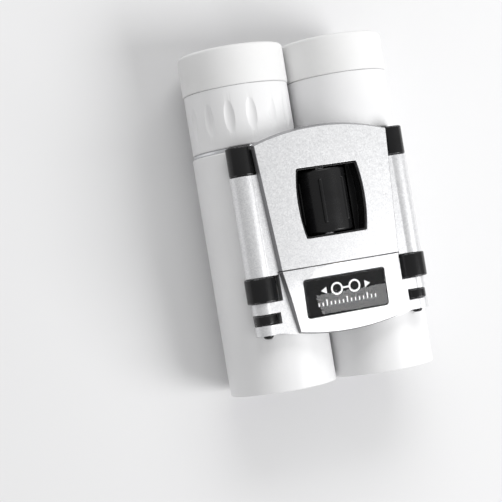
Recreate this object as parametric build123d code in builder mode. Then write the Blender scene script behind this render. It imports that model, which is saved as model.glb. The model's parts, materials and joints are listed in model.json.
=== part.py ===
"""Pocket folding binoculars: two roof-prism barrels hinged under a bridge with a focusing roller.

The barrels lie side by side, folded under the bridge, on their undersides.
X runs across the two barrels, +Y points to the eyepieces and +Z out of the bridge's cover.
Heights named h are measured along the barrels from a datum just inside the objective rims.
Millimetres throughout.
"""

import os
from math import atan2, cos, degrees, hypot, radians, sin, sqrt

from build123d import *

os.makedirs("parts", exist_ok=True)

# Overall sizes
length = 95.4  # objective rims to eyecup lips
rim = -1.0  # objective rims, from the datum of the heights
eyecup_top = length + rim
barrel_radius = 15.0
barrel_gap = 0.4  # between the two barrels when folded
barrel_x = barrel_radius + barrel_gap / 2
barrel_z = barrel_radius

# Hinges, one on each side, level with the tops of the barrels
hinge_offset = 7.2  # hinge line outside its barrel's axis
hinge_x = barrel_x + hinge_offset
hinge_z = barrel_z + barrel_radius
hinge_reach = hypot(hinge_offset, hinge_z - barrel_z)
pin_radius = 1.5
pin_clearance = 0.05
knuckle_radius = 3.7
lower_knuckle_radius = 3.3
upper_lug_radius = 3.6
big_lug_radius = 4.25
thin_lug_radius = 3.0
cap_radius = 1.4
cap_height = 1.0
washer_radius = 2.4
washer_seat = 0.5
lug_clearance = 0.3
trough_clearance = 0.4
end_gap = 0.15  # between hinge pieces along the pin

# Telescoping tubes
sleeve_wall = 3.2
slide_clearance = 0.08
sleeve_bore = barrel_radius - sleeve_wall
tube_radius = sleeve_bore - slide_clearance
tube_wall = 0.8
tube_bore = tube_radius - tube_wall
focus_travel = 4.0
seat_clearance = 0.05  # lenses and rings in their bores

# Heights from the eyepiece end down
eyecup_length = 11.0
ring_length = 16.6
bezel_height = 0.9
bezel_gap = 0.05
eyecup_seam = eyecup_top - eyecup_length
ring_low = eyecup_seam - ring_length
sleeve_top = ring_low - bezel_height - 2 * bezel_gap
upper_lug_high = sleeve_top + 0.5
upper_lug_low = upper_lug_high - 8.0

# Heights from the objective end up
lower_end = 15.0
thin_lug_low = 17.85
thin_lug_high = 20.6
big_lug_low = 23.85
big_lug_high = 30.6
washer_gap = 0.05
washer_high = big_lug_high + washer_gap
upper_knuckle_low = washer_high + 0.1
upper_knuckle_high = upper_lug_low - end_gap
seam = 31.4
seam_gap = 0.2

# Bridge decks and cover
deck_gap = 0.5  # over the barrels
deck_thickness = 2.7
deck_low = barrel_z + barrel_radius + deck_gap
deck_high = deck_low + deck_thickness
cover_thickness = 2.2
cover_top = deck_high + cover_thickness
cover_high = sleeve_top + 0.3
cover_apex = 3.4  # rise of the top edge's arc
cover_low = 14.2
cover_belly = 1.6  # drop of the bottom edge's arc
cover_high_half = barrel_x + 4.1
cover_seam_half = barrel_x + 1.9
cover_low_half = barrel_x - 1.0
cover_draft = 18
cover_foot = cover_thickness * sin(radians(cover_draft)) / cos(radians(cover_draft))
crown_radius = 250.0
slope_drop = 1.2  # lower cover, seam to bottom edge
slope_angle = degrees(atan2(slope_drop, seam - cover_low + cover_belly))

# Window and focusing roller
window_half = 8.8
window_bow = 1.0
window_low = 39.0
window_high = 58.0
collar_wall = 0.4
collar_proud_gap = 0.6  # collar's top below the cover's top
flange_grow = 0.6
flange_thickness = 0.9
wheel_radius = 6.9
wheel_proud = 0.6  # over the cover
wheel_end_gap = 0.45
rib_radius = 0.6
rib_proud = 0.4
rib_length = 12.3
rib_count = 6
rib_start = 38
well_clearance = 0.3
well_wall = 0.5
well_end = 2.1  # end walls reach this far past the window
relief_clearance = 0.3
wheel_z = cover_top + wheel_proud - wheel_radius
well_bore = wheel_radius + rib_proud + well_clearance
well_radius = well_bore + well_wall
boss_radius = 3.4
screw_radius = 2.0
screw_clearance = 0.05
screw_low = 18.8
nut_radius = 2.9
nut_low = 21.6
nut_high = 30.6
nut_flange_radius = 3.4
nut_flange = 0.8
nut_boss_radius = 4.0
clip_radius = 3.2
clip_thickness = 0.6

# Label
label_width = 24.0
label_height = 10.5
label_middle = 22.9
label_corner = 0.8
label_recess = 0.8
label_plate_thickness = 0.5
label_dome_height = 1.0
label_clearance = 0.1

# Small screws from under the decks into the covers' pegs
fastener_radius = 0.7
fastener_head = 1.3
fastener_head_height = 0.7
fastener_sink = 0.1
fastener_clearance = 0.05
peg_radius = 1.7
peg_depth = 1.2
peg_grip = 0.5  # how far a screw reaches into the cover over the deck
upper_fasteners = [(x, h) for x in (-12.5, 12.5) for h in (35.5, 62.5)]
lower_fasteners = [(-14.0, 26.5), (14.0, 26.5), (-7.0, 15.7), (7.0, 15.7)]

# Objective
recess_radius = 13.0
recess_floor = 3.2
tube_top = 34.0
lens_radius = tube_bore - seat_clearance
retainer_low = 3.4
retainer_height = 1.6
retainer_opening = 9.9
crown_edge = 1.1
flint_edge = 2.9
front_curve = 45.0
cement_curve = 40.0
back_curve = 180.0
lens_shoulder = 0.9

# Prisms
prism_tube_low = tube_top + focus_travel
cage_low = 43.0
cage_plate = 1.0
prism_half_depth = 6.6
prism_side = 14.5
prism_start = -6.5
prism_air = 0.2
light_hole = 5.8
pocket_half = 8.4
clip_strip = 0.4

# Eyepiece
neck_radius = 11.2
neck_top = eyecup_seam - 4.2
cell_radius = 10.0
neck_bore = cell_radius + slide_clearance
cell_bore = 8.6
cell_low = ring_low + 1.7
cell_lip = 1.2
eye_lens_radius = cell_bore - seat_clearance
ring_radius = barrel_radius - 0.35
ring_bore = neck_radius + 0.05
collar_radius = 13.2
collar_bore = 12.2
collar_height = 2.5
eyecup_radius = barrel_radius - 0.1
eyecup_bore = 12.2
eyecup_lip = 0.9
eye_bezel_radius = 11.8
eye_bezel_low = eyecup_seam + 1.3
eye_bezel_height = 2.0
eye_opening = 7.2
dimple_count = 15
dimple_start = 18
dimple_length = 9.2
dimple_depth = 0.55
dimple_radius = 2.6

sides = (("left", -1), ("right", 1))


def at(h):
    """Y of a height h over the datum."""
    return h - rim - length / 2


def across(h):
    """Plane square to the barrels at height h, with local x = X and local y = Z."""
    return Plane.XZ.offset(-at(h))


def rod(x, z, radius, low, high, mode=Mode.ADD):
    """Cylinder along the barrels between two heights."""
    with BuildSketch(across(high)) as circle:
        with Locations((x, z)):
            Circle(radius)
    extrude(circle.sketch, amount=high - low, mode=mode)


def turned(x, z, outline, rounds=(), mode=Mode.ADD):
    """Solid of revolution about a line along Y; the outline's points are (radius, height)."""
    with BuildSketch(Plane((x, 0, z))) as profile:
        Polygon(*[(r, at(h)) for r, h in outline], align=None)
        for corner, size in rounds:
            r, h = outline[corner]
            fillet(profile.vertices().sort_by_distance((r, at(h), 0))[0], size)
    revolve(profile.sketch, axis=Axis((x, 0, z), (0, 1, 0)), mode=mode)


def sagitta(curve, radius):
    """Depth of a spherical surface at a radius."""
    return abs(curve) - sqrt(curve**2 - radius**2)


def lens(x, radius, low_edge, high_edge, low_bulge, high_bulge):
    """Lens about a barrel's axis from its edge heights and the bulge of each face along Y."""
    with BuildSketch(Plane((x, 0, barrel_z))) as profile:
        with BuildLine():
            edge_line = Line((radius, at(low_edge)), (radius, at(high_edge)))
            top = bulged(radius, high_edge, high_bulge)
            axis_line = Line((0, at(high_edge + high_bulge)), (0, at(low_edge + low_bulge)))
            bottom = bulged(radius, low_edge, low_bulge)
        make_face([edge_line, top, axis_line, bottom])
    revolve(profile.sketch, axis=Axis((x, 0, barrel_z), (0, 1, 0)))


def bulged(radius, edge, bulge):
    """Half of a lens face: an arc from the rim to the axis, square to the axis there."""
    if abs(bulge) < 1e-6:
        return Line((radius, at(edge)), (0, at(edge)))
    return ThreePointArc((radius, at(edge)), *arc_middle_and_end(radius, edge, bulge))


def arc_middle_and_end(radius, edge, bulge):
    """Middle and end of the arc through the rim whose centre lies on the axis."""
    curve = (radius**2 + bulge**2) / (2 * abs(bulge))
    half = radius / 2
    way = 1 if bulge > 0 else -1
    middle = edge + bulge - way * sagitta(curve, half)
    return (half, at(middle)), (0, at(edge + bulge))


def arm(sign, low, high, width, inner, mode=Mode.ADD):
    """Web from a barrel's tube out to its hinge line."""
    out_x, out_z = sign * hinge_offset / hinge_reach, (hinge_z - barrel_z) / hinge_reach
    side_x, side_z = -out_z * width / 2, out_x * width / 2
    near = (sign * barrel_x + out_x * inner, barrel_z + out_z * inner)
    far = (sign * hinge_x, hinge_z)
    corners = [
        (near[0] + side_x, near[1] + side_z),
        (near[0] - side_x, near[1] - side_z),
        (far[0] - side_x, far[1] - side_z),
        (far[0] + side_x, far[1] + side_z),
    ]
    with BuildSketch(across(high)) as web:
        Polygon(*corners, align=None)
    extrude(web.sketch, amount=high - low, mode=mode)


def slab(x0, x1, low, high, z0, z1, mode=Mode.ADD):
    """Box between two X values, two heights and two Z values."""
    with BuildSketch(Plane.XY.offset(z0)) as plan:
        with Locations(((x0 + x1) / 2, at((low + high) / 2))):
            Rectangle(x1 - x0, high - low)
    extrude(plan.sketch, amount=z1 - z0, mode=mode)


def bowed(z, grow):
    """Window outline with bowed sides at a level z, grown all round."""
    half = window_half + grow
    low, high = at(window_low) - grow, at(window_high) + grow
    with BuildSketch(Plane.XY.offset(z)) as opening:
        with BuildLine():
            Line((-half, high), (half, high))
            ThreePointArc((half, high), (half + window_bow, (low + high) / 2), (half, low))
            Line((half, low), (-half, low))
            ThreePointArc((-half, low), (-half - window_bow, (low + high) / 2), (-half, high))
        make_face()
        fillet(opening.vertices(), 0.5)
    return opening.sketch


def posts(places, radius, z0, z1, mode=Mode.ADD):
    """Round posts or holes along Z at (x, height) places."""
    with BuildSketch(Plane.XY.offset(z0)) as spots:
        with Locations(*[(x, at(h)) for x, h in places]):
            Circle(radius)
    extrude(spots.sketch, amount=z1 - z0, mode=mode)


def save(name, builder):
    """Label a finished piece and write its STEP file."""
    builder.part.label = name
    export_step(builder.part, f"parts/{name}.step")


# Plate of both covers before the seam parts it: drafted sides, a slight crown and a sloping foot
with BuildPart() as plate:
    with BuildSketch(Plane.XY.offset(deck_high)):
        with BuildLine():
            right = [
                (cover_low_half + cover_foot, at(cover_low)),
                (cover_seam_half + cover_foot, at(seam)),
                (cover_high_half + cover_foot, at(cover_high)),
            ]
            left = [(-x, y) for x, y in reversed(right)]
            Polyline(*right)
            ThreePointArc(right[-1], (0, at(cover_high + cover_apex)), left[0])
            Polyline(*left)
            ThreePointArc(left[-1], (0, at(cover_low - cover_belly)), right[0])
        make_face()
    extrude(amount=cover_thickness, taper=cover_draft)
    with BuildSketch(across(length)):
        with BuildLine():
            reach = hinge_x + 5
            drop = sagitta(crown_radius, reach)
            ThreePointArc((-reach, cover_top - drop), (0, cover_top), (reach, cover_top - drop))
            Polyline((reach, cover_top - drop), (reach, deck_low), (-reach, deck_low), (-reach, cover_top - drop))
        make_face()
    extrude(amount=length, mode=Mode.INTERSECT)
    with BuildSketch(Plane.YZ):
        rise = slope_drop / (seam - cover_low + cover_belly)
        Polygon(
            (at(0), deck_low),
            (at(length), deck_low),
            (at(length), cover_top + rise * (length - seam)),
            (at(0), cover_top - rise * seam),
            align=None,
        )
    extrude(amount=reach, both=True, mode=Mode.INTERSECT)

peg_hole = peg_radius + fastener_clearance
head_floor = deck_low + fastener_sink + fastener_head_height
screw_tip = deck_high + peg_grip

with BuildPart() as upper_cover:
    add(plate.part)
    slab(-reach, reach, 0, seam + seam_gap / 2, deck_low, cover_top + 1, Mode.SUBTRACT)
    extrude(bowed(deck_low, 0.1), amount=cover_top, mode=Mode.SUBTRACT)
    posts(upper_fasteners, peg_radius, deck_high - peg_depth, deck_high + 0.2)
    posts(upper_fasteners, fastener_radius + 0.02, deck_low, screw_tip + 0.1, Mode.SUBTRACT)
    for _, sign in sides:
        rod(
            sign * hinge_x, hinge_z, upper_lug_radius + lug_clearance,
            upper_lug_low - lug_clearance, length, Mode.SUBTRACT,
        )
save("upper_cover", upper_cover)

label_level = cover_top - rise * (seam - label_middle)
tilt = radians(slope_angle)
label_plane = Plane((0, at(label_middle), label_level), x_dir=(1, 0, 0), z_dir=(0, -sin(tilt), cos(tilt)))

with BuildPart() as lower_cover:
    add(plate.part)
    slab(-reach, reach, seam - seam_gap / 2, length, deck_low, cover_top + 1, Mode.SUBTRACT)
    with BuildSketch(label_plane.offset(-label_recess)):
        RectangleRounded(
            label_width + 2 * label_clearance, label_height + 2 * label_clearance, label_corner + label_clearance
        )
    extrude(amount=label_recess + 2, mode=Mode.SUBTRACT)
    posts(lower_fasteners, peg_radius, deck_high - peg_depth, deck_high + 0.2)
    posts(lower_fasteners, fastener_radius + 0.02, deck_low, screw_tip + 0.1, Mode.SUBTRACT)
    for _, sign in sides:
        rod(
            sign * hinge_x, hinge_z, big_lug_radius + lug_clearance,
            big_lug_low - end_gap, big_lug_high + end_gap, Mode.SUBTRACT,
        )
save("lower_cover", lower_cover)

with BuildPart() as label_plate:
    with BuildSketch(label_plane.offset(-label_recess)):
        RectangleRounded(label_width, label_height, label_corner)
    extrude(amount=label_plate_thickness)
save("label_plate", label_plate)

with BuildPart() as label_dome:
    with BuildSketch(label_plane.offset(-label_recess + label_plate_thickness)):
        RectangleRounded(label_width, label_height, label_corner)
    extrude(amount=label_dome_height)
    fillet(label_dome.faces().sort_by(Axis.Z)[-1].edges(), 0.6)
save("label_dome", label_dome)

for name, places in (("upper_frame_screws", upper_fasteners), ("lower_frame_screws", lower_fasteners)):
    with BuildPart() as screws:
        posts(places, fastener_head, head_floor - fastener_head_height, head_floor)
        posts(places, fastener_radius, head_floor, screw_tip)
    save(name, screws)


def fastener_holes(places):
    """Holes in a deck for the covers' pegs, the screws and their sunk heads."""
    posts(places, peg_hole, deck_high - peg_depth - 0.05, deck_high, Mode.SUBTRACT)
    posts(places, fastener_radius + fastener_clearance, deck_low, deck_high, Mode.SUBTRACT)
    posts(places, fastener_head + fastener_clearance, deck_low, head_floor, Mode.SUBTRACT)


wing_step = cover_seam_half + cover_foot + 0.3
deck_inset = 0.8

with BuildPart() as upper_frame:
    with BuildSketch(Plane.XY.offset(deck_low)):
        with BuildLine():
            right = [
                (wing_step, at(seam + seam_gap / 2)),
                (wing_step, at(upper_knuckle_low)),
                (hinge_x, at(upper_knuckle_low)),
                (hinge_x, at(upper_knuckle_high)),
                (cover_high_half - 0.3, at(upper_knuckle_high)),
                (cover_high_half - 0.3, at(cover_high - deck_inset)),
            ]
            left = [(-x, y) for x, y in reversed(right)]
            Polyline(*right)
            ThreePointArc(right[-1], (0, at(cover_high + cover_apex - deck_inset)), left[0])
            Polyline(*left)
            Line(left[-1], right[0])
        make_face()
    extrude(amount=deck_thickness)
    for _, sign in sides:
        rod(sign * hinge_x, hinge_z, knuckle_radius, upper_knuckle_low, upper_knuckle_high)
        rod(
            sign * hinge_x, hinge_z, upper_lug_radius + lug_clearance,
            upper_knuckle_high, length, Mode.SUBTRACT,
        )
        rod(sign * hinge_x, hinge_z, pin_radius + pin_clearance, 0, length, Mode.SUBTRACT)
    extrude(bowed(deck_low, 0.1), amount=deck_thickness, mode=Mode.SUBTRACT)
    rod(
        0, wheel_z, boss_radius + fastener_clearance * 2,
        seam, window_high + well_end + clip_thickness + 1.0, Mode.SUBTRACT,
    )
    fastener_holes(upper_fasteners)
save("upper_frame", upper_frame)

slot_start = hinge_x - thin_lug_radius - trough_clearance

with BuildPart() as lower_frame:
    with BuildSketch(Plane.XY.offset(deck_low)):
        with BuildLine():
            right = [
                (cover_low_half - 1.3, at(lower_end - 1.2)),
                (cover_low_half + 1.5, at(lower_end - 0.9)),
                (hinge_x - 3.0, at(lower_end)),
                (hinge_x, at(lower_end)),
                (hinge_x, at(big_lug_low - end_gap)),
                (wing_step - 0.3, at(big_lug_low - end_gap)),
                (wing_step - 0.3, at(seam - seam_gap / 2)),
            ]
            left = [(-x, y) for x, y in reversed(right)]
            Polyline(*right)
            Line(right[-1], left[0])
            Polyline(*left)
            ThreePointArc(left[-1], (0, at(cover_low - cover_belly + deck_inset)), right[0])
        make_face()
    extrude(amount=deck_thickness)
    rod(0, wheel_z, nut_boss_radius, screw_low, seam - seam_gap / 2)
    slab(-reach, reach, 0, seam, deck_high, cover_top * 2, Mode.SUBTRACT)
    for _, sign in sides:
        rod(sign * hinge_x, hinge_z, lower_knuckle_radius, lower_end, big_lug_low - end_gap)
        slab(
            min(sign * slot_start, sign * (hinge_x + 5)), max(sign * slot_start, sign * (hinge_x + 5)),
            thin_lug_low - end_gap, thin_lug_high + end_gap, deck_low - 10, cover_top, Mode.SUBTRACT,
        )
        rod(
            sign * hinge_x, hinge_z, big_lug_radius + lug_clearance,
            big_lug_low - end_gap, big_lug_high + lug_clearance, Mode.SUBTRACT,
        )
        rod(sign * hinge_x, hinge_z, pin_radius, 0, length, Mode.SUBTRACT)
    rod(0, wheel_z, screw_radius + lug_clearance, 0, nut_low, Mode.SUBTRACT)
    rod(0, wheel_z, nut_radius, nut_low, seam, Mode.SUBTRACT)
    rod(0, wheel_z, nut_flange_radius, nut_high, seam, Mode.SUBTRACT)
    fastener_holes(lower_fasteners)
save("lower_frame", lower_frame)

# Black well that lines the window, carries the roller and closes the space under it
well_low, well_high = window_low - well_end, window_high + well_end
with BuildPart() as wheel_well:
    rod(0, wheel_z, well_radius, well_low, well_high)
    slab(-reach, reach, well_low - 1, well_high + 1, deck_low, cover_top * 2, Mode.SUBTRACT)
    extrude(bowed(deck_low - flange_thickness, flange_grow), amount=flange_thickness)
    extrude(bowed(deck_low, 0), amount=cover_top - collar_proud_gap - deck_low)
    rod(0, wheel_z, boss_radius, well_low, window_low + collar_wall)
    rod(0, wheel_z, boss_radius, window_high - collar_wall, well_high)
    rod(0, wheel_z, well_bore, window_low + collar_wall, window_high - collar_wall, Mode.SUBTRACT)
    extrude(bowed(deck_low, -collar_wall), amount=cover_top, mode=Mode.SUBTRACT)
    rod(0, wheel_z, screw_radius + screw_clearance, well_low - 1, well_high + 1, Mode.SUBTRACT)
save("wheel_well", wheel_well)

# Rounded grip rib, along Y through the origin
with BuildPart() as rib:
    with BuildSketch(Plane.XY):
        with BuildLine():
            end = rib_length / 2 - rib_radius
            Line((0, -rib_length / 2), (0, rib_length / 2))
            RadiusArc((0, rib_length / 2), (rib_radius, end), rib_radius)
            Line((rib_radius, end), (rib_radius, -end))
            RadiusArc((rib_radius, -end), (0, -rib_length / 2), rib_radius)
        make_face()
    revolve(axis=Axis.Y)

window_middle = (window_low + window_high) / 2
wheel_low = window_low + collar_wall + wheel_end_gap
wheel_high = window_high - collar_wall - wheel_end_gap
rib_reach = wheel_radius + rib_proud - rib_radius
rib_places = [
    Location((0, at(window_middle), wheel_z), (0, rib_start + turn * 360 / rib_count, 0)) * Location((0, 0, rib_reach))
    for turn in range(rib_count)
]

with BuildPart() as focus_wheel:
    turned(
        0, wheel_z,
        [(screw_radius, wheel_low), (wheel_radius, wheel_low), (wheel_radius, wheel_high), (screw_radius, wheel_high)],
        rounds=((1, 0.6), (2, 0.6)),
    )
    with Locations(*rib_places):
        add(rib.part)
save("focus_wheel", focus_wheel)

with BuildPart() as focus_screw:
    rod(0, wheel_z, screw_radius, screw_low, well_high + clip_thickness + 0.4)
    thread_pitch, thread_depth = 1.0, 0.3
    for turn in range(int((wheel_low - 4 - screw_low) / thread_pitch)):
        h = screw_low + 0.6 + turn * thread_pitch
        turned(
            0, wheel_z,
            [(screw_radius - thread_depth, h), (screw_radius + 0.2, h - 0.3), (screw_radius + 0.2, h + 0.3)],
            mode=Mode.SUBTRACT,
        )
save("focus_screw", focus_screw)

with BuildPart() as screw_clip:
    rod(0, wheel_z, clip_radius, well_high + 0.02, well_high + clip_thickness)
    rod(0, wheel_z, screw_radius, well_high, well_high + clip_thickness, Mode.SUBTRACT)
    slab(-1.0, 1.0, well_high, well_high + clip_thickness, wheel_z - 5, wheel_z, Mode.SUBTRACT)
save("screw_clip", screw_clip)

with BuildPart() as focus_nut:
    rod(0, wheel_z, nut_radius, nut_low, nut_high)
    rod(0, wheel_z, nut_flange_radius, nut_high, nut_high + nut_flange)
    rod(0, wheel_z, screw_radius + screw_clearance, nut_low, seam, Mode.SUBTRACT)
save("focus_nut", focus_nut)

# Lens-shaped finger dimple of the dioptre ring, along Y through the origin
with BuildPart() as dimple:
    with BuildSketch(Plane.XY):
        with BuildLine():
            tip = dimple_length / 2 * 1.25
            neck = dimple_radius - dimple_depth * 1.25**2
            ThreePointArc((neck, -tip), (dimple_radius, 0), (neck, tip))
            Polyline((neck, tip), (0, tip), (0, -tip), (neck, -tip))
        make_face()
    revolve(axis=Axis.Y)

prism_low = cage_low + cage_plate
prism_height = prism_side + prism_air
cage_high = prism_low + prism_height + cage_plate
corner = prism_side / sqrt(2)

for side, sign in sides:
    x = sign * barrel_x
    hx = sign * hinge_x

    # White barrel shell with the hinge's trough, the lugs' notches and the roller's relief
    with BuildPart() as sleeve:
        turned(
            x, barrel_z,
            [
                (recess_radius, rim), (barrel_radius, rim), (barrel_radius, sleeve_top), (sleeve_bore, sleeve_top),
                (sleeve_bore, recess_floor), (recess_radius, recess_floor),
            ],
            rounds=((0, 0.4), (1, 0.4), (2, 0.4)),
        )
        rod(hx, hinge_z, knuckle_radius + trough_clearance, lower_end - lug_clearance, length, Mode.SUBTRACT)
        rod(
            hx, hinge_z, cap_radius + trough_clearance,
            lower_end - cap_height - lug_clearance, length, Mode.SUBTRACT,
        )
        rod(
            hx, hinge_z, big_lug_radius + lug_clearance,
            big_lug_low - end_gap, big_lug_high + lug_clearance, Mode.SUBTRACT,
        )
        arm(sign, big_lug_low - end_gap, big_lug_high + end_gap, 7.4, tube_bore - 2, Mode.SUBTRACT)
        arm(sign, thin_lug_low - end_gap, thin_lug_high + end_gap, 5.4, tube_bore - 2, Mode.SUBTRACT)
        rod(hx, hinge_z, upper_lug_radius + lug_clearance, upper_lug_low - end_gap, length, Mode.SUBTRACT)
        arm(sign, upper_lug_low - end_gap, length, 6.6, tube_bore - 2, Mode.SUBTRACT)
        rod(
            0, wheel_z, well_radius + relief_clearance,
            well_low - relief_clearance, well_high + focus_travel + relief_clearance, Mode.SUBTRACT,
        )
    save(f"{side}_barrel_sleeve", sleeve)

    # Objective tube with the two lower hinge lugs
    with BuildPart() as objective_tube:
        rod(x, barrel_z, tube_radius, recess_floor, tube_top)
        rod(hx, hinge_z, big_lug_radius, big_lug_low, big_lug_high)
        rod(hx, hinge_z, thin_lug_radius, thin_lug_low, thin_lug_high)
        arm(sign, big_lug_low, big_lug_high, 7.0, tube_bore + 0.1)
        arm(sign, thin_lug_low, thin_lug_high, 5.0, tube_bore + 0.1)
        rod(hx, hinge_z, pin_radius + pin_clearance, thin_lug_low, big_lug_high, Mode.SUBTRACT)
        rod(
            hx, hinge_z, washer_radius + slide_clearance,
            big_lug_high - washer_seat, big_lug_high, Mode.SUBTRACT,
        )
        seat = retainer_low + retainer_height + crown_edge + flint_edge
        rod(x, barrel_z, tube_bore, 0, seat, Mode.SUBTRACT)
        rod(x, barrel_z, tube_bore - lens_shoulder, seat, seat + 1.5, Mode.SUBTRACT)
        rod(x, barrel_z, tube_bore, seat + 1.5, tube_top, Mode.SUBTRACT)
    save(f"{side}_objective_tube", objective_tube)

    with BuildPart() as retainer:
        dip = sagitta(front_curve, lens_radius) - sagitta(front_curve, retainer_opening)
        turned(
            x, barrel_z,
            [
                (tube_bore - 0.4, retainer_low), (lens_radius, retainer_low + 0.3),
                (lens_radius, retainer_low + retainer_height - dip - 0.02),
                (retainer_opening, retainer_low + retainer_height - dip - 0.02),
                (retainer_opening, retainer_low + 0.8),
            ],
        )
    save(f"{side}_objective_retainer", retainer)

    crown_low = retainer_low + retainer_height
    crown_high = crown_low + crown_edge
    cement = sagitta(cement_curve, lens_radius)
    with BuildPart() as crown_lens:
        lens(x, lens_radius, crown_low, crown_high, -sagitta(front_curve, lens_radius), cement)
    save(f"{side}_crown_lens", crown_lens)

    with BuildPart() as flint_lens:
        lens(x, lens_radius, crown_high, crown_high + flint_edge, cement, -sagitta(back_curve, lens_radius))
    save(f"{side}_flint_lens", flint_lens)

    # Inner tube that carries the prisms, the upper hinge lug and the eyepiece's neck
    with BuildPart() as prism_tube:
        rod(x, barrel_z, tube_radius, prism_tube_low, ring_low - bezel_gap)
        rod(x, barrel_z, neck_radius, ring_low - bezel_gap, neck_top)
        rod(hx, hinge_z, upper_lug_radius, upper_lug_low, upper_lug_high)
        arm(sign, upper_lug_low, upper_lug_high, 6.0, tube_bore + 0.1)
        rod(hx, hinge_z, pin_radius + pin_clearance, upper_lug_low, upper_lug_high - 0.6, Mode.SUBTRACT)
        rod(x, barrel_z, tube_bore, prism_tube_low, ring_low - 1.0, Mode.SUBTRACT)
        rod(x, barrel_z, neck_bore, ring_low - 1.0, neck_top, Mode.SUBTRACT)
    save(f"{side}_prism_tube", prism_tube)

    with BuildPart() as bezel_ring:
        turned(
            x, barrel_z,
            [
                (tube_radius, sleeve_top + bezel_gap), (barrel_radius - 0.4, sleeve_top + bezel_gap),
                (barrel_radius - 0.4, ring_low - bezel_gap), (tube_radius, ring_low - bezel_gap),
            ],
            rounds=((1, 0.3), (2, 0.3)),
        )
        rod(hx, hinge_z, upper_lug_radius + 0.05, sleeve_top, ring_low, Mode.SUBTRACT)
        arm(sign, sleeve_top, ring_low, 6.1, tube_radius - 1, Mode.SUBTRACT)
    save(f"{side}_bezel_ring", bezel_ring)

    # Cage with a pocket open at the top, the two prisms and the spring strip over them
    cage_radius = tube_bore - seat_clearance
    with BuildPart() as prism_cage:
        rod(x, barrel_z, cage_radius, cage_low, cage_high)
        slab(
            x - pocket_half, x + pocket_half, prism_low, prism_low + prism_height,
            barrel_z - prism_half_depth, barrel_z + cage_radius, Mode.SUBTRACT,
        )
        rod(x, barrel_z, light_hole, cage_low, cage_high, Mode.SUBTRACT)
    save(f"{side}_prism_cage", prism_cage)

    with BuildPart() as entry_prism:
        with BuildSketch(Plane.XY.offset(barrel_z)):
            Polygon(
                (x + prism_start, at(prism_low)),
                (x + prism_start + prism_side, at(prism_low)),
                (x + prism_start + corner, at(prism_low + corner)),
                align=None,
            )
        extrude(amount=prism_half_depth, both=True)
    save(f"{side}_entry_prism", entry_prism)

    # Roof prism: the face opposite the apex is a ridge of two planes square to each other
    apex = (x + prism_start + prism_side, at(prism_low + prism_height))
    flat_end = (apex[0] - prism_side, apex[1])
    slant_end = (apex[0] - corner, apex[1] - corner)
    ridge_middle = ((flat_end[0] + slant_end[0]) / 2, (flat_end[1] + slant_end[1]) / 2)
    along = (slant_end[0] - flat_end[0], slant_end[1] - flat_end[1])
    inward = (apex[0] - ridge_middle[0], apex[1] - ridge_middle[1])
    roof_plane = Plane(
        (ridge_middle[0], ridge_middle[1], barrel_z), x_dir=(*inward, 0), z_dir=(*along, 0)
    )
    with BuildPart() as roof_prism:
        with BuildSketch(Plane.XY.offset(barrel_z)):
            Polygon(apex, flat_end, slant_end, align=None)
        extrude(amount=prism_half_depth, both=True)
        with BuildSketch(roof_plane):
            Polygon((0, 0), (2 * prism_side, 2 * prism_side), (2 * prism_side, -2 * prism_side), align=None)
        extrude(amount=2 * prism_side, both=True, mode=Mode.INTERSECT)
    save(f"{side}_roof_prism", roof_prism)

    with BuildPart() as prism_clip:
        strip_half = min(pocket_half, sqrt(cage_radius**2 - (prism_half_depth + clip_strip) ** 2)) - 0.1
        slab(
            x - strip_half, x + strip_half, prism_low + 3, prism_low + 11,
            barrel_z + prism_half_depth, barrel_z + prism_half_depth + clip_strip,
        )
    save(f"{side}_prism_clip", prism_clip)

    with BuildPart() as field_stop:
        turned(
            x, barrel_z,
            [
                (5.4, cage_high + 0.4), (cage_radius, cage_high), (cage_radius, cage_high + 1.2),
                (5.4, cage_high + 0.6),
            ],
        )
    save(f"{side}_field_stop", field_stop)

    # Eyepiece cell with its two lenses, spacer and front bezel
    with BuildPart() as eyepiece_cell:
        rod(x, barrel_z, cell_radius, cell_low, eye_bezel_low)
        rod(x, barrel_z, cell_bore - 1.0, cell_low, cell_low + cell_lip, Mode.SUBTRACT)
        rod(x, barrel_z, cell_bore, cell_low + cell_lip, eye_bezel_low, Mode.SUBTRACT)
    save(f"{side}_eyepiece_cell", eyepiece_cell)

    field_edge, field_bulge = 1.6, 1.6
    eye_edge, eye_bulge = 1.5, 0.95
    field_low = cell_low + cell_lip
    eye_high = eye_bezel_low - 0.3
    with BuildPart() as field_lens:
        lens(x, eye_lens_radius, field_low, field_low + field_edge, 0, field_bulge)
    save(f"{side}_field_lens", field_lens)

    with BuildPart() as eye_lens:
        lens(x, eye_lens_radius, eye_high - eye_edge, eye_high, -eye_bulge, eye_bulge)
    save(f"{side}_eye_lens", eye_lens)

    spacer_bore = eye_lens_radius - 0.9
    lift = field_bulge * (1 - (spacer_bore / eye_lens_radius) ** 2)
    fall = eye_bulge * (1 - (spacer_bore / eye_lens_radius) ** 2)
    with BuildPart() as lens_spacer:
        rod(x, barrel_z, eye_lens_radius, field_low + field_edge + lift, eye_high - eye_edge - fall)
        rod(x, barrel_z, spacer_bore, field_low, eye_high, Mode.SUBTRACT)
    save(f"{side}_lens_spacer", lens_spacer)

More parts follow.
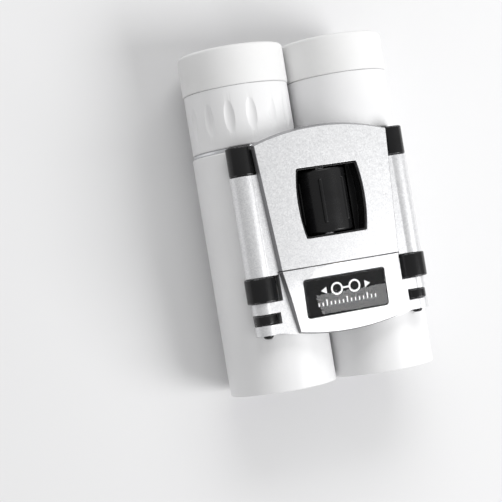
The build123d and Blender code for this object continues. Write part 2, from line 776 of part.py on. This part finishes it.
    with BuildPart() as eye_bezel:
        top = eye_bezel_low + eye_bezel_height
        turned(
            x, barrel_z,
            [
                (eye_opening, eye_bezel_low), (eye_bezel_radius, eye_bezel_low), (eye_bezel_radius, top),
                (eye_bezel_radius - 0.8, top), (eye_opening, eye_bezel_low + 0.9),
            ],
            rounds=((2, 0.3),),
        )
        lens_gap = eye_high - 0.02
        turned(
            x, barrel_z,
            [
                (eye_lens_radius - 0.7, lens_gap + 0.25), (cell_bore, lens_gap + 0.06),
                (cell_bore, eye_bezel_low + 0.2), (eye_lens_radius - 0.7, eye_bezel_low + 0.2),
            ],
        )
    save(f"{side}_eye_bezel", eye_bezel)

    # Outer ring: turns on the left barrel and has finger dimples, plain and fixed on the right
    with BuildPart() as outer_ring:
        turned(
            x, barrel_z,
            [
                (ring_bore, ring_low), (ring_radius, ring_low), (ring_radius, eyecup_seam),
                (collar_radius, eyecup_seam), (collar_radius, eyecup_seam + collar_height),
                (collar_bore, eyecup_seam + collar_height), (collar_bore, eyecup_seam + 0.4),
                (neck_bore, eyecup_seam + 0.4), (neck_bore, neck_top + 0.2), (ring_bore, neck_top + 0.2),
            ],
            rounds=((1, 0.5), (2, 0.25)),
        )
        if side == "left":
            dimple_reach = ring_radius + dimple_radius - dimple_depth
            dimple_middle = at((ring_low + eyecup_seam) / 2)
            dimple_places = [
                Location((x, dimple_middle, barrel_z), (0, dimple_start + turn * 360 / dimple_count, 0))
                * Location((0, 0, dimple_reach))
                for turn in range(dimple_count)
            ]
            with Locations(*dimple_places):
                add(dimple.part, mode=Mode.SUBTRACT)
    save("left_diopter_ring" if side == "left" else "right_eyepiece_ring", outer_ring)

    with BuildPart() as eyecup:
        socket_top = eyecup_seam + collar_height + 0.1
        turned(
            x, barrel_z,
            [
                (collar_radius + seat_clearance, eyecup_seam + 0.05), (eyecup_radius, eyecup_seam + 0.05),
                (eyecup_radius, eyecup_top), (eyecup_bore, eyecup_top), (eyecup_bore, socket_top),
                (collar_radius + seat_clearance, socket_top),
            ],
            rounds=((1, 0.35), (2, eyecup_lip), (3, eyecup_lip)),
        )
    save(f"{side}_eyecup", eyecup)

    # Hinge pin with its washer and the cap under its lower end
    with BuildPart() as hinge_pin:
        rod(hx, hinge_z, pin_radius, lower_end, upper_lug_high - 0.9)
    save(f"{side}_hinge_pin", hinge_pin)

    with BuildPart() as hinge_washer:
        rod(hx, hinge_z, washer_radius, big_lug_high - washer_seat + washer_gap, washer_high)
        rod(hx, hinge_z, pin_radius, big_lug_low, washer_high, Mode.SUBTRACT)
    save(f"{side}_hinge_washer", hinge_washer)

    with BuildPart() as pin_cap:
        turned(
            hx, hinge_z,
            [
                (0, lower_end), (0, lower_end - cap_height),
                (cap_radius, lower_end - cap_height), (cap_radius, lower_end),
            ],
            rounds=((2, cap_height - 0.2),),
        )
    save(f"{side}_pin_cap", pin_cap)
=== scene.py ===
import json
from math import cos, pi, radians, sin

import bmesh
import bpy
from mathutils import Matrix, Vector

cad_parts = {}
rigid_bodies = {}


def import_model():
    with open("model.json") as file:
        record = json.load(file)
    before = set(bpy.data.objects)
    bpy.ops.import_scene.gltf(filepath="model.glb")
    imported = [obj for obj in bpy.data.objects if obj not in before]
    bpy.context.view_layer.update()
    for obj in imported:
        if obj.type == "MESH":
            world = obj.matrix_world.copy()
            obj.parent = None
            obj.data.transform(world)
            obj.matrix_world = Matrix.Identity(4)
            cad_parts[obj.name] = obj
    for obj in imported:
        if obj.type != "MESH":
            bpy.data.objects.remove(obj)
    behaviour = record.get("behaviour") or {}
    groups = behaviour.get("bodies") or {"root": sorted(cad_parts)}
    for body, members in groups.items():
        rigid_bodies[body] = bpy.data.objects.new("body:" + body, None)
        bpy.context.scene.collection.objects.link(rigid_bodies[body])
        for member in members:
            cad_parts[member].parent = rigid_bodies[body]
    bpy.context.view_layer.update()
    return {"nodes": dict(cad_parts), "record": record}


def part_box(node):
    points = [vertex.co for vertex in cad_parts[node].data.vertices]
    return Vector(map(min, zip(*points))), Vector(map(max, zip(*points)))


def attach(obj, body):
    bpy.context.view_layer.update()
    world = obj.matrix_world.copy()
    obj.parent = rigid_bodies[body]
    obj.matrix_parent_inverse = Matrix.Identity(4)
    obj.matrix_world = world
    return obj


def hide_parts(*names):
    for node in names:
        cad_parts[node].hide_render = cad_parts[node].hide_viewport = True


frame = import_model()
nodes = frame["nodes"]
print("loaded", len(nodes), "nodes")

mm = 0.001


def newGroup(name, inputs, outputs):
    group = bpy.data.node_groups.new(name, "ShaderNodeTree")
    for socketName, kind, value in inputs:
        socket = group.interface.new_socket(socketName, in_out="INPUT", socket_type=kind)
        if value is not None:
            socket.default_value = value
    for socketName, kind in outputs:
        group.interface.new_socket(socketName, in_out="OUTPUT", socket_type=kind)
    start = group.nodes.new("NodeGroupInput")
    end = group.nodes.new("NodeGroupOutput")
    start.location, end.location = (-700, 0), (500, 0)
    return group, start, end


def link(tree, fromNode, fromSocket, toNode, toSocket):
    tree.links.new(fromNode.outputs[fromSocket], toNode.inputs[toSocket])


def mathNode(tree, operation, first, second):
    node = tree.nodes.new("ShaderNodeMath")
    node.operation = operation
    for index, value in enumerate((first, second)):
        if isinstance(value, (int, float)):
            node.inputs[index].default_value = value
        else:
            tree.links.new(value, node.inputs[index])
    return node.outputs[0]


def noiseNode(tree, vector, scale, detail=3.0, roughness=0.55):
    node = tree.nodes.new("ShaderNodeTexNoise")
    node.inputs["Detail"].default_value = detail
    node.inputs["Roughness"].default_value = roughness
    tree.links.new(vector, node.inputs["Vector"])
    if isinstance(scale, (int, float)):
        node.inputs["Scale"].default_value = scale
    else:
        tree.links.new(scale, node.inputs["Scale"])
    return node.outputs[0]


def mixColor(tree, factor, first, second):
    node = tree.nodes.new("ShaderNodeMix")
    node.data_type = "RGBA"
    for index, value in ((0, factor), (6, first), (7, second)):
        if isinstance(value, (int, float, tuple)):
            node.inputs[index].default_value = value
        else:
            tree.links.new(value, node.inputs[index])
    return node.outputs[2]


def remap(tree, value, fromLow, fromHigh, toLow, toHigh):
    node = tree.nodes.new("ShaderNodeMapRange")
    for index, item in enumerate((value, fromLow, fromHigh, toLow, toHigh)):
        if isinstance(item, (int, float)):
            node.inputs[index].default_value = item
        else:
            tree.links.new(item, node.inputs[index])
    return node.outputs[0]


# moulded plastic and rubber: slow colour drift, fine spark-eroded grain, uneven gloss
mouldedSurface, start, end = newGroup(
    "mouldedSurface",
    [
        ("Coordinates", "NodeSocketVector", None),
        ("Base", "NodeSocketColor", (0.8, 0.8, 0.8, 1)),
        ("Drift", "NodeSocketColor", (0.7, 0.7, 0.7, 1)),
        ("Drift Scale", "NodeSocketFloat", 60.0),
        ("Grain Scale", "NodeSocketFloat", 6000.0),
        ("Gloss Low", "NodeSocketFloat", 0.3),
        ("Gloss High", "NodeSocketFloat", 0.4),
    ],
    [("Color", "NodeSocketColor"), ("Roughness", "NodeSocketFloat"), ("Height", "NodeSocketFloat")],
)
tree = mouldedSurface
drift = noiseNode(tree, start.outputs["Coordinates"], start.outputs["Drift Scale"], 4)
grain = noiseNode(tree, start.outputs["Coordinates"], start.outputs["Grain Scale"], 2)
speck = mathNode(tree, "MULTIPLY", drift, grain)
drifted = mixColor(
    tree, remap(tree, drift, 0.35, 0.7, 0.0, 1.0), start.outputs["Base"], start.outputs["Drift"]
)
gloss = remap(tree, speck, 0.1, 0.45, start.outputs["Gloss Low"], start.outputs["Gloss High"])
tree.links.new(drifted, end.inputs["Color"])
tree.links.new(gloss, end.inputs["Roughness"])
tree.links.new(grain, end.inputs["Height"])

# metallic paint: aluminium flakes that catch light one by one under a clear coat
flakePaint, start, end = newGroup(
    "flakePaint",
    [
        ("Coordinates", "NodeSocketVector", None),
        ("Base", "NodeSocketColor", (0.7, 0.7, 0.7, 1)),
        ("Flake", "NodeSocketColor", (0.95, 0.95, 0.95, 1)),
        ("Flake Scale", "NodeSocketFloat", 4000.0),
        ("Cloud Scale", "NodeSocketFloat", 90.0),
        ("Flake Amount", "NodeSocketFloat", 0.5),
    ],
    [
        ("Color", "NodeSocketColor"),
        ("Roughness", "NodeSocketFloat"),
        ("Metallic", "NodeSocketFloat"),
        ("Height", "NodeSocketFloat"),
    ],
)
tree = flakePaint
cells = tree.nodes.new("ShaderNodeTexVoronoi")
link(tree, start, "Coordinates", cells, "Vector")
link(tree, start, "Flake Scale", cells, "Scale")
split = tree.nodes.new("ShaderNodeSeparateColor")
link(tree, cells, "Color", split, 0)
cloud = noiseNode(tree, start.outputs["Coordinates"], start.outputs["Cloud Scale"], 3)
bright = mathNode(tree, "MULTIPLY", split.outputs[0], start.outputs["Flake Amount"])
glint = mathNode(tree, "ADD", bright, remap(tree, cloud, 0.3, 0.7, -0.02, 0.02))
tree.links.new(mixColor(tree, glint, start.outputs["Base"], start.outputs["Flake"]), end.inputs["Color"])
tree.links.new(remap(tree, split.outputs[1], 0.0, 1.0, 0.3, 0.46), end.inputs["Roughness"])
tree.links.new(remap(tree, split.outputs[2], 0.0, 1.0, 0.45, 0.75), end.inputs["Metallic"])
tree.links.new(split.outputs[0], end.inputs["Height"])

# rubbed edges: a mask that only breaks through on the softened edges
edgeRub, start, end = newGroup(
    "edgeRub",
    [
        ("Coordinates", "NodeSocketVector", None),
        ("Edge", "NodeSocketFloat", 0.0),
        ("Patch Scale", "NodeSocketFloat", 400.0),
        ("Amount", "NodeSocketFloat", 0.5),
    ],
    [("Mask", "NodeSocketFloat")],
)
tree = edgeRub
patches = noiseNode(tree, start.outputs["Coordinates"], start.outputs["Patch Scale"], 4)
worn = mathNode(tree, "MULTIPLY", remap(tree, patches, 0.45, 0.65, 0.0, 1.0), start.outputs["Edge"])
tree.links.new(mathNode(tree, "MULTIPLY", worn, start.outputs["Amount"]), end.inputs["Mask"])

# lathe lines round a turned part: rings that step along the barrels
turnedLines, start, end = newGroup(
    "turnedLines",
    [("Coordinates", "NodeSocketVector", None), ("Pitch Scale", "NodeSocketFloat", 4000.0)],
    [("Roughness", "NodeSocketFloat"), ("Height", "NodeSocketFloat")],
)
tree = turnedLines
rings = tree.nodes.new("ShaderNodeTexWave")
rings.wave_type, rings.bands_direction = "BANDS", "Y"
rings.inputs["Distortion"].default_value = 1.5
rings.inputs["Detail"].default_value = 2
link(tree, start, "Coordinates", rings, "Vector")
link(tree, start, "Pitch Scale", rings, "Scale")
tree.links.new(remap(tree, rings.outputs[1], 0.0, 1.0, 0.18, 0.34), end.inputs["Roughness"])
tree.links.new(rings.outputs[1], end.inputs["Height"])
print("shader groups built")


def startMaterial(name):
    material = bpy.data.materials.new(name)
    material.use_nodes = True
    tree = material.node_tree
    shader = tree.nodes["Principled BSDF"]
    coordinates = tree.nodes.new("ShaderNodeTexCoord")
    return material, tree, shader, coordinates.outputs["Object"]


def placeGroup(tree, group, coordinates, values):
    node = tree.nodes.new("ShaderNodeGroup")
    node.node_tree = group
    tree.links.new(coordinates, node.inputs["Coordinates"])
    for socketName, value in values.items():
        node.inputs[socketName].default_value = value
    return node


def bumpInto(tree, shader, height, strength, distance):
    bump = tree.nodes.new("ShaderNodeBump")
    bump.inputs["Strength"].default_value = strength
    bump.inputs["Distance"].default_value = distance
    tree.links.new(height, bump.inputs["Height"])
    tree.links.new(bump.outputs[0], shader.inputs["Normal"])


def setSockets(shader, values):
    for socketName, value in values.items():
        shader.inputs[socketName].default_value = value


def mouldedMaterial(name, surface, sockets, rub=None, bump=(0.35, 0.00001)):
    material, tree, shader, coordinates = startMaterial(name)
    group = placeGroup(tree, mouldedSurface, coordinates, surface)
    color = group.outputs["Color"]
    if rub:
        edge = tree.nodes.new("ShaderNodeAttribute")
        edge.attribute_name = "softEdge"
        worn = placeGroup(tree, edgeRub, coordinates, {"Patch Scale": 500.0, "Amount": rub["amount"]})
        tree.links.new(edge.outputs["Fac"], worn.inputs["Edge"])
        color = mixColor(tree, worn.outputs["Mask"], color, rub["color"])
    tree.links.new(color, shader.inputs["Base Color"])
    link(tree, group, "Roughness", shader, "Roughness")
    setSockets(shader, sockets)
    bumpInto(tree, shader, group.outputs["Height"], *bump)
    return material


def darkened(color, share):
    return tuple(c * share for c in color[:3]) + (1,)


def turnedMaterial(name, color, metallic=1.0, pitchScale=4000.0):
    material, tree, shader, coordinates = startMaterial(name)
    lines = placeGroup(tree, turnedLines, coordinates, {"Pitch Scale": pitchScale})
    tone = noiseNode(tree, coordinates, 300.0)
    tree.links.new(mixColor(tree, tone, color, darkened(color, 0.82)), shader.inputs["Base Color"])
    link(tree, lines, "Roughness", shader, "Roughness")
    setSockets(shader, {"Metallic": metallic})
    bumpInto(tree, shader, lines.outputs["Height"], 0.3, 0.000008)
    return material


def glassMaterial(name, color, coat, coatTint, ior=1.5):
    material, tree, shader, coordinates = startMaterial(name)
    smudge = noiseNode(tree, coordinates, 220.0, 5)
    tree.links.new(mixColor(tree, smudge, color, darkened(color, 0.97)), shader.inputs["Base Color"])
    tree.links.new(remap(tree, smudge, 0.5, 0.8, 0.0, 0.03), shader.inputs["Roughness"])
    setSockets(shader, {"Transmission Weight": 1.0, "IOR": ior})
    setSockets(shader, {"Coat Weight": coat, "Coat Roughness": 0.02, "Coat Tint": coatTint})
    # lets the lamps reach what lies under the glass
    clear = tree.nodes.new("ShaderNodeBsdfTransparent")
    clear.inputs["Color"].default_value = darkened(color, 0.9)
    path = tree.nodes.new("ShaderNodeLightPath")
    either = tree.nodes.new("ShaderNodeMixShader")
    link(tree, path, "Is Shadow Ray", either, 0)
    tree.links.new(shader.outputs[0], either.inputs[1])
    tree.links.new(clear.outputs[0], either.inputs[2])
    tree.links.new(either.outputs[0], tree.nodes["Material Output"].inputs["Surface"])
    return material


whiteShell = mouldedMaterial(
    "whiteShell",
    {"Base": (0.86, 0.86, 0.865, 1), "Drift": (0.82, 0.82, 0.825, 1), "Drift Scale": 45.0,
     "Grain Scale": 7000.0, "Gloss Low": 0.3, "Gloss High": 0.4},
    {"IOR": 1.5, "Coat Weight": 0.12, "Coat Roughness": 0.2},
)
whiteRubber = mouldedMaterial(
    "whiteRubber",
    {"Base": (0.84, 0.84, 0.84, 1), "Drift": (0.79, 0.79, 0.785, 1), "Drift Scale": 60.0,
     "Grain Scale": 5000.0, "Gloss Low": 0.42, "Gloss High": 0.58},
    {"IOR": 1.48, "Sheen Weight": 0.06, "Sheen Roughness": 0.4},
    bump=(0.5, 0.000015),
)
blackPlastic = mouldedMaterial(
    "blackPlastic",
    {"Base": (0.007, 0.007, 0.0075, 1), "Drift": (0.011, 0.011, 0.0115, 1), "Drift Scale": 150.0,
     "Grain Scale": 5000.0, "Gloss Low": 0.2, "Gloss High": 0.32},
    {"IOR": 1.5, "Specular IOR Level": 0.32},
    rub={"color": (0.12, 0.12, 0.12, 1), "amount": 0.2},
    bump=(0.5, 0.000015),
)
blackAnodised = mouldedMaterial(
    "blackAnodised",
    {"Base": (0.006, 0.006, 0.0065, 1), "Drift": (0.01, 0.01, 0.0105, 1), "Drift Scale": 120.0,
     "Grain Scale": 8000.0, "Gloss Low": 0.16, "Gloss High": 0.28},
    {"IOR": 1.5, "Specular IOR Level": 0.35},
    rub={"color": (0.3, 0.3, 0.31, 1), "amount": 0.35},
)
labelBlack = mouldedMaterial(
    "labelBlack",
    {"Base": (0.003, 0.003, 0.0035, 1), "Drift": (0.005, 0.005, 0.0055, 1), "Drift Scale": 200.0,
     "Grain Scale": 9000.0, "Gloss Low": 0.12, "Gloss High": 0.2},
    {"IOR": 1.5, "Specular IOR Level": 0.1},
    bump=(0.1, 0.000004),
)
printWhite = mouldedMaterial(
    "printWhite",
    {"Base": (0.9, 0.9, 0.9, 1), "Drift": (0.85, 0.85, 0.85, 1), "Drift Scale": 300.0,
     "Grain Scale": 9000.0, "Gloss Low": 0.35, "Gloss High": 0.5},
    {"IOR": 1.45},
)
chromeRing = turnedMaterial("chromeRing", (0.86, 0.87, 0.89, 1), 1.0, 2500.0)
turnedSteel = turnedMaterial("turnedSteel", (0.6, 0.6, 0.62, 1))
turnedBrass = turnedMaterial("turnedBrass", (0.72, 0.52, 0.24, 1))
clearDome = glassMaterial("clearDome", (1.0, 1.0, 1.0, 1), 0.0, (1, 1, 1, 1), ior=1.36)
coatedGlass = glassMaterial("coatedGlass", (0.89, 0.85, 0.955, 1), 1.0, (0.8, 0.62, 1.0, 1))
prismGlass = glassMaterial("prismGlass", (0.93, 0.97, 0.98, 1), 0.2, (1, 1, 1, 1))


def paintMaterial(name, paintValues, coatWeight):
    material, tree, shader, coordinates = startMaterial(name)
    paint = placeGroup(tree, flakePaint, coordinates, paintValues)
    edge = tree.nodes.new("ShaderNodeAttribute")
    edge.attribute_name = "softEdge"
    worn = placeGroup(tree, edgeRub, coordinates, {"Patch Scale": 350.0, "Amount": 0.25})
    tree.links.new(edge.outputs["Fac"], worn.inputs["Edge"])
    rubbed = mixColor(tree, worn.outputs["Mask"], paint.outputs["Color"], (0.45, 0.45, 0.46, 1))
    tree.links.new(rubbed, shader.inputs["Base Color"])
    link(tree, paint, "Roughness", shader, "Roughness")
    link(tree, paint, "Metallic", shader, "Metallic")
    setSockets(shader, {"Coat Weight": coatWeight, "Coat Roughness": 0.08, "IOR": 1.5})
    bumpInto(tree, shader, paint.outputs["Height"], 0.2, 0.00001)
    return material


silverPaint = paintMaterial(
    "silverPaint",
    {"Base": (0.73, 0.735, 0.75, 1), "Flake": (1.0, 1.0, 1.0, 1), "Flake Scale": 3600.0,
     "Cloud Scale": 70.0, "Flake Amount": 0.55},
    0.5,
)
# painted shade: a darker copy of the silver paint for the covers' side walls
wallPaint = paintMaterial(
    "wallPaint",
    {"Base": (0.24, 0.24, 0.25, 1), "Flake": (0.42, 0.42, 0.43, 1), "Flake Scale": 4200.0,
     "Cloud Scale": 70.0, "Flake Amount": 0.35},
    0.4,
)

finishes = {
    "white_shell": whiteShell, "white_rubber": whiteRubber, "silver_paint": silverPaint,
    "black_plastic": blackPlastic, "black_anodised": blackAnodised, "steel": turnedSteel,
    "chrome": chromeRing, "brass": turnedBrass, "label_black": labelBlack, "clear_dome": clearDome,
    "prism_glass": prismGlass, "coated_glass": coatedGlass,
}
nodeSlots = {part["node"]: part["material_slot"] for part in frame["record"]["subparts"]}
for name, item in nodes.items():
    item.data.materials.clear()
    item.data.materials.append(finishes[nodeSlots[name]])
print("materials placed on", len(nodes), "nodes")


def bodyOf(nodeName):
    return nodes[nodeName].parent.name.split(":", 1)[1]


def meshPiece(name, build, material, body):
    mesh = bpy.data.meshes.new(name)
    build.to_mesh(mesh)
    build.free()
    piece = bpy.data.objects.new(name, mesh)
    bpy.context.scene.collection.objects.link(piece)
    mesh.materials.append(material)
    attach(piece, body)
    return piece


# how wide each hard-edged part's rounded corners are, in mm
softening = {
    "upper_cover": 0.22, "lower_cover": 0.22,
    "upper_frame": 0.18, "lower_frame": 0.18,
    "wheel_well": 0.12, "focus_wheel": 0.12,
    "left_objective_tube": 0.4, "right_objective_tube": 0.4,
    "left_prism_tube": 0.4, "right_prism_tube": 0.4,
    "left_barrel_sleeve": 0.12, "right_barrel_sleeve": 0.12,
    "left_diopter_ring": 0.15, "right_eyepiece_ring": 0.15,
    "left_eyecup": 0.15, "right_eyecup": 0.15,
}
rounding = {
    "weldDistance": 0.002 * mm,
    "flatAngle": radians(0.3),
    "cornerAngle": radians(32),
    "segments": 2,
    "lugSegments": 3,
    "lugRange": (2.4 * mm, 5.0 * mm),  # how far a lug's outer corners are from the hinge line
}
lugTubes = ("left_objective_tube", "right_objective_tube", "left_prism_tube", "right_prism_tube")

# painted shade: the covers' outer side walls get a darker copy of their paint, which stands in for the
# shade on them
coverWalls = {
    "covers": ("upper_cover", "lower_cover"),
    "topLimit": 0.97,  # faces that point further up than this are the top
    "underLimit": -0.3,
    "windowReach": (10.3 * mm, 9.8 * mm),
    "windowMiddle": sum(corner.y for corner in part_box("wheel_well")) / 2,
    "labelReach": 12.2 * mm,
    "labelLow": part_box("label_plate")[0].y - 0.5 * mm,
}


def shadeByAngle(piece, angle):
    for face in piece.data.polygons:
        face.use_smooth = True
    piece.data.set_sharp_from_angle(angle=angle)


def onLug(edge, hingeMiddle):
    reaches = [
        Vector((v.co.x - hingeMiddle.x, 0, v.co.z - hingeMiddle.z)).length for v in edge.verts
    ]
    nearest, furthest = rounding["lugRange"]
    return nearest < min(reaches) and max(reaches) < furthest


def isSideWall(face, nodeName):
    # not the top, the underside, or the sides of the window and the label's pocket
    if abs(face.normal.z) >= coverWalls["topLimit"] or face.normal.z <= coverWalls["underLimit"]:
        return False
    middle = face.calc_center_median()
    if nodeName == "upper_cover":
        across, along = coverWalls["windowReach"]
        return abs(middle.x) >= across or abs(middle.y - coverWalls["windowMiddle"]) >= along
    return abs(middle.x) >= coverWalls["labelReach"] or middle.y <= coverWalls["labelLow"]


def softenedCopy(nodeName, width):
    # a merged copy of a hard-edged part with its corners rounded off
    build = bmesh.new()
    build.from_mesh(nodes[nodeName].data)
    bmesh.ops.remove_doubles(build, verts=build.verts, dist=rounding["weldDistance"])
    bmesh.ops.dissolve_limit(
        build, angle_limit=rounding["flatAngle"], use_dissolve_boundaries=False,
        verts=build.verts, edges=build.edges, delimit=set(),
    )
    joined = [e for e in build.edges if len(e.link_faces) == 2]
    corners = [e for e in joined if e.calc_face_angle(0) > rounding["cornerAngle"]]
    hasLugs = nodeName in lugTubes
    if hasLugs:
        pinLow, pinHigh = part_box(nodeName.split("_")[0] + "_hinge_pin")
        corners = [e for e in corners if onLug(e, (pinLow + pinHigh) / 2)]
    bevelled = bmesh.ops.bevel(
        build, geom=corners, offset=width * mm, offset_type="OFFSET",
        segments=rounding["lugSegments" if hasLugs else "segments"],
        profile=0.5, affect="EDGES", material=-1, clamp_overlap=not hasLugs,
    )
    isCover = nodeName in coverWalls["covers"]
    layer = build.loops.layers.float.new("softEdge")  # 1 on the rounded corners only
    rounded = set(bevelled["faces"])
    for face in build.faces:
        for loop in face.loops:
            loop[layer] = 1.0 if face in rounded else 0.0
        # side walls take the painted-shade copy of the paint in slot 1
        if isCover and isSideWall(face, nodeName):
            face.material_index = 1
    slot = nodeSlots[nodeName]
    piece = meshPiece(nodeName + "_soft", build, finishes[slot], bodyOf(nodeName))
    # slot 1 holds the painted-shade copy of the paint
    if isCover:
        piece.data.materials.append(wallPaint)
    shadeByAngle(piece, rounding["cornerAngle"])
    finish = piece.modifiers.new("evenShading", "WEIGHTED_NORMAL")
    finish.keep_sharp = True
    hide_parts(nodeName)


for nodeName, width in softening.items():
    softenedCopy(nodeName, width)
print("softened", len(softening), "hard-edged pieces")

# the label's print, in mm from the plate's middle
labelPrint = {
    "rowUp": 1.55,
    "ringRadius": 1.75, "ringStroke": 0.5, "ringSpread": 2.6, "ringSegments": 48,
    "barHeight": 0.5, "barOverlap": 0.3,
    "arrowPlace": 6.2, "arrowRadius": 1.1,
    "rowDown": -2.6,
    "tickCount": 15, "tickStep": 1.2, "tickWidth": 0.36,
    "tickShort": 1.0, "tickTall": 1.7, "tallEvery": 5, "firstTall": 2,
    "thickness": 0.03, "lift": 0.26, "tilt": radians(3.61),
}


def addBar(build, x, y, width, height):
    made = bmesh.ops.create_grid(build, x_segments=1, y_segments=1, size=0.5)
    bmesh.ops.scale(build, vec=(width, height, 1), verts=made["verts"])
    bmesh.ops.translate(build, vec=(x, y, 0), verts=made["verts"])


def addArrow(build, side, x, y, radius):
    # a solid triangle that points away from the middle
    made = bmesh.ops.create_circle(build, cap_ends=True, segments=3, radius=radius)
    bmesh.ops.rotate(build, verts=made["verts"], matrix=Matrix.Rotation(radians(-90 * side), 3, "Z"))
    bmesh.ops.translate(build, vec=(x, y, 0), verts=made["verts"])


def addRing(build, x, y, radius, stroke):
    made = bmesh.ops.create_circle(
        build, cap_ends=True, segments=labelPrint["ringSegments"], radius=radius
    )
    faces = [f for f in build.faces if all(v in made["verts"] for v in f.verts)]
    bmesh.ops.inset_region(build, faces=faces, thickness=stroke, use_boundary=True, use_even_offset=True)
    points = {v for f in faces for v in f.verts} | set(made["verts"])
    bmesh.ops.translate(build, vec=(x, y, 0), verts=list(points))
    bmesh.ops.delete(build, geom=faces, context="FACES_ONLY")


def makeLabelPrint():
    values = labelPrint
    spread, radius, up = values["ringSpread"], values["ringRadius"], values["rowUp"]
    build = bmesh.new()
    for side in (-1, 1):
        addRing(build, side * spread, up, radius, values["ringStroke"])
        addArrow(build, side, side * values["arrowPlace"], up, values["arrowRadius"])
    addBar(build, 0, up, 2 * (spread - radius) + values["barOverlap"], values["barHeight"])
    half = (values["tickCount"] - 1) / 2
    for index in range(values["tickCount"]):
        tall = index % values["tallEvery"] == values["firstTall"]
        height = values["tickTall" if tall else "tickShort"]
        place = (index - half) * values["tickStep"]
        addBar(build, place, values["rowDown"] + height / 2, values["tickWidth"], height)
    extruded = bmesh.ops.extrude_face_region(build, geom=build.faces[:])
    risen = [v for v in extruded["geom"] if isinstance(v, bmesh.types.BMVert)]
    bmesh.ops.translate(build, vec=(0, 0, values["thickness"]), verts=risen)
    bmesh.ops.recalc_face_normals(build, faces=build.faces)
    low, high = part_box("label_plate")
    middle = (low + high) / 2 + Vector((0, 0, values["lift"] * mm))
    turn = Matrix.Rotation(values["tilt"], 4, "X")
    placing = Matrix.Translation(middle) @ turn @ Matrix.Scale(mm, 4)
    bmesh.ops.transform(build, matrix=placing, verts=build.verts)
    meshPiece("label_print", build, printWhite, "lower_bridge")


makeLabelPrint()
print("label printed")


studio = {
    "worldColor": (1.0, 1.0, 1.0, 1),
    "worldStrength": 0.46,
    "lamps": {
        "key": {
            "place": (0.81, -0.43, 0.80), "turn": radians(33), "size": (0.9, 0.6), "power": 12.0,
        },
        "fill": {
            "place": (0.1, 0.85, 0.7), "turn": radians(-50), "size": (0.9, 0.5), "power": 5.0,
        },
    },
    "floorSize": 3,
    "floorColor": (0.8, 0.8, 0.805, 1),
    "floorDrift": (0.78, 0.78, 0.785, 1),
    "floorRoughness": 0.9,
}


def makeStudio():
    build = bmesh.new()
    bmesh.ops.create_grid(build, x_segments=1, y_segments=1, size=studio["floorSize"])
    mesh = bpy.data.meshes.new("floor")
    build.to_mesh(mesh)
    build.free()
    floor = bpy.data.objects.new("floor", mesh)
    bpy.context.scene.collection.objects.link(floor)
    paper, tree, shader, coordinates = startMaterial("floorPaper")
    shade = noiseNode(tree, coordinates, 3.0)
    floorTone = mixColor(tree, shade, studio["floorColor"], studio["floorDrift"])
    tree.links.new(floorTone, shader.inputs["Base Color"])
    shader.inputs["Roughness"].default_value = studio["floorRoughness"]
    mesh.materials.append(paper)

    world = bpy.data.worlds.new("studio")
    bpy.context.scene.world = world
    world.use_nodes = True
    background = world.node_tree.nodes["Background"]
    background.inputs["Color"].default_value = studio["worldColor"]
    background.inputs["Strength"].default_value = studio["worldStrength"]
    for name, values in studio["lamps"].items():
        lamp = bpy.data.lights.new(name, "AREA")
        lamp.shape = "RECTANGLE"
        lamp.size, lamp.size_y = values["size"]
        lamp.energy = values["power"]
        holder = bpy.data.objects.new(name, lamp)
        bpy.context.scene.collection.objects.link(holder)
        holder.location = values["place"]
        holder.rotation_euler = (values["turn"], 0, 0)


view = {
    "place": (-145.7 * mm, -9.8 * mm, 383.0 * mm),
    "yaw": radians(19.1),
    "pitch": radians(-0.2),
    "roll": radians(9.3),
    "lens": 99.5,
}


def makeCamera():
    lens = bpy.data.cameras.new("camera")
    camera = bpy.data.objects.new("camera", lens)
    bpy.context.scene.collection.objects.link(camera)
    lens.sensor_width = 36
    lens.lens = view["lens"]
    roll = Matrix.Rotation(view["roll"], 3, "Z")
    pitch = Matrix.Rotation(view["pitch"], 3, "X")
    yaw = Matrix.Rotation(view["yaw"], 3, "Y")
    turn = (roll @ pitch @ yaw).transposed()
    camera.matrix_world = Matrix.Translation(view["place"]) @ turn.to_4x4()
    bpy.context.scene.camera = camera


makeStudio()
makeCamera()
bpy.context.scene.view_settings.view_transform = "Standard"
print("studio and camera set")
